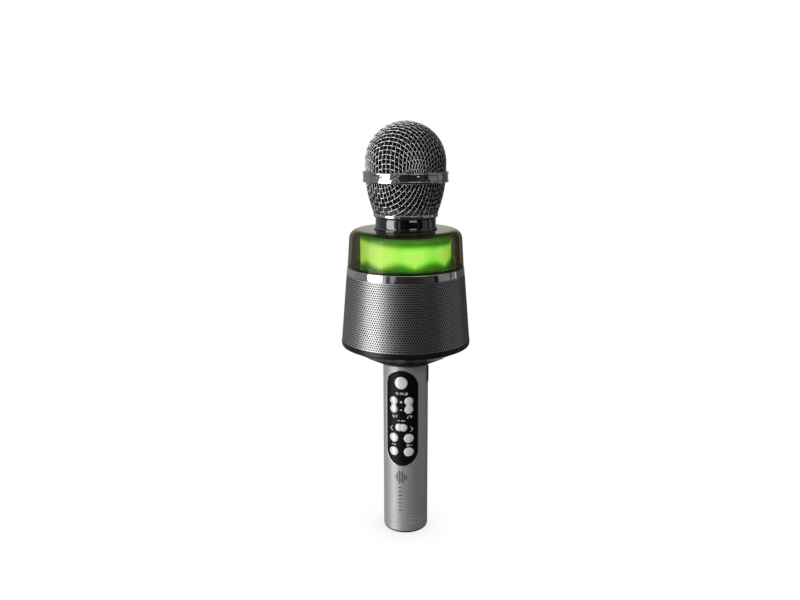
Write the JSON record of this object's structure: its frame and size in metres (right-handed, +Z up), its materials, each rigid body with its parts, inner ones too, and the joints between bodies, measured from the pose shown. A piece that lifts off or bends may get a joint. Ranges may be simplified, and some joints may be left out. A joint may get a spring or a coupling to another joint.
{
  "type": "karaoke microphone",
  "caption": "Handheld karaoke microphone with woven grille ball, glowing light drum, round perforated loudspeaker and a tube handle with a key panel.",
  "frame": {"origin": "centre of the flat foot under the handle, on the surface that the microphone stands on", "axes": "+Z up the handle to the grille ball, -Y out of the key panel, +X out of the charging socket"},
  "size_m": [0.08, 0.08, 0.26],
  "materials": {
    "mesh_wire": "bright woven wire",
    "band_chrome": "polished",
    "black_foam": "open cell foam",
    "black_rubber": "matte",
    "capsule_can": "satin",
    "capsule_screen": "satin",
    "inner_plastic": "moulded",
    "black_chrome": "dark polished",
    "smoked_cover": "smoked clear plastic",
    "milky_drum": "milky, lit green from inside",
    "circuit_board": "solder mask",
    "lamp_body": "clear resin on white",
    "white_plastic": "moulded",
    "grille_sheet": "dark grey satin paint",
    "black_cloth": "fine weave",
    "driver_steel": "zinc grey",
    "paper_cone": "pressed pulp",
    "bright_steel": "zinc plated",
    "gloss_black": "high gloss",
    "gunmetal": "brushed and anodised gunmetal",
    "chip_black": "moulded",
    "cell_wrap": "shrink sleeve",
    "socket_plastic": "fine texture",
    "wire_cover": "insulated wire",
    "key_chrome": "polished plated plastic"
  },
  "bodies": {
    "mic_body": {"capsule": "capsule_can", "capsule_face": "capsule_screen", "shock_mount": "black_rubber", "capsule_post": "inner_plastic", "neck_collar": "black_chrome", "neck_core": "inner_plastic", "light_cover": "smoked_cover", "light_diffuser": "milky_drum", "led_board": "circuit_board", "leds": "lamp_body", "light_core": "white_plastic", "trim_band": "band_chrome", "speaker_grille": "grille_sheet", "grille_cloth": "black_cloth", "speaker_chassis": "inner_plastic", "driver_basket": "driver_steel", "driver_magnet": "driver_steel", "driver_cone": "paper_cone", "driver_surround": "black_rubber", "dust_cap": "paper_cone", "driver_screws": "bright_steel", "bottom_cover": "gloss_black", "chassis_screws": "bright_steel", "handle_tube": "gunmetal", "control_panel": "gloss_black", "rocker_pins": "bright_steel", "inner_carrier": "inner_plastic", "main_board": "circuit_board", "audio_chips": "chip_black", "tact_switches": "bright_steel", "board_screws": "bright_steel", "battery_cell": "cell_wrap", "port_board": "circuit_board", "usb_socket": "bright_steel", "port_bezel": "socket_plastic", "aux_socket": "socket_plastic", "card_socket": "bright_steel", "wiring": "wire_cover", "end_cap": "gunmetal", "base_plug": "socket_plastic"},
    "thread_washer": {"head_washer": "black_rubber"},
    "grille_head": {"upper_mesh": "mesh_wire", "lower_mesh": "mesh_wire", "grille_band": "band_chrome", "grille_base_ring": "band_chrome", "foam_liner": "black_foam"},
    "power_key": {"power_button": "key_chrome"},
    "mic_volume_key": {"mic_volume_rocker": "key_chrome"},
    "music_volume_key": {"music_volume_rocker": "key_chrome"},
    "track_key": {"track_rocker": "key_chrome"},
    "play_key": {"play_button": "key_chrome"},
    "mode_key": {"mode_button": "key_chrome"},
    "effects_key": {"effects_button": "key_chrome"},
    "light_key": {"light_button": "key_chrome"}
  },
  "joints": [
    {"name": "grille_lift", "type": "slide", "parent": "mic_body", "child": "thread_washer", "axis": [0, 0, 1], "range_m": [0, 0.006]},
    {"name": "grille_turn", "type": "hinge", "parent": "thread_washer", "child": "grille_head", "pos_m": [0, 0, 0.21], "axis": [0, 0, 1], "range_deg": [0, 1440.02]},
    {"name": "power_press", "type": "slide", "parent": "mic_body", "child": "power_key", "axis": [0, 1, 0], "range_m": [0, 0.00025]},
    {"name": "mic_volume_tilt", "type": "hinge", "parent": "mic_body", "child": "mic_volume_key", "pos_m": [-0.00475, -0.011, 0.0866], "axis": [1, 0, 0], "range_deg": [-4, 4]},
    {"name": "music_volume_tilt", "type": "hinge", "parent": "mic_body", "child": "music_volume_key", "pos_m": [0.00475, -0.011, 0.0866], "axis": [1, 0, 0], "range_deg": [-4, 4]},
    {"name": "track_tilt", "type": "hinge", "parent": "mic_body", "child": "track_key", "pos_m": [0, -0.011, 0.072], "axis": [0, 0, 1], "range_deg": [-4, 4]},
    {"name": "play_press", "type": "slide", "parent": "mic_body", "child": "play_key", "axis": [0, 1, 0], "range_m": [0, 0.00025]},
    {"name": "mode_press", "type": "slide", "parent": "mic_body", "child": "mode_key", "axis": [0, 1, 0], "range_m": [0, 0.00025]},
    {"name": "effects_press", "type": "slide", "parent": "mic_body", "child": "effects_key", "axis": [0, 1, 0], "range_m": [0, 0.00025]},
    {"name": "light_press", "type": "slide", "parent": "mic_body", "child": "light_key", "axis": [0, 1, 0], "range_m": [0, 0.00025]}
  ],
  "couplings": [
    {"joint": "grille_turn", "follows": "grille_lift", "rad_per_m": 4188.8}
  ]
}
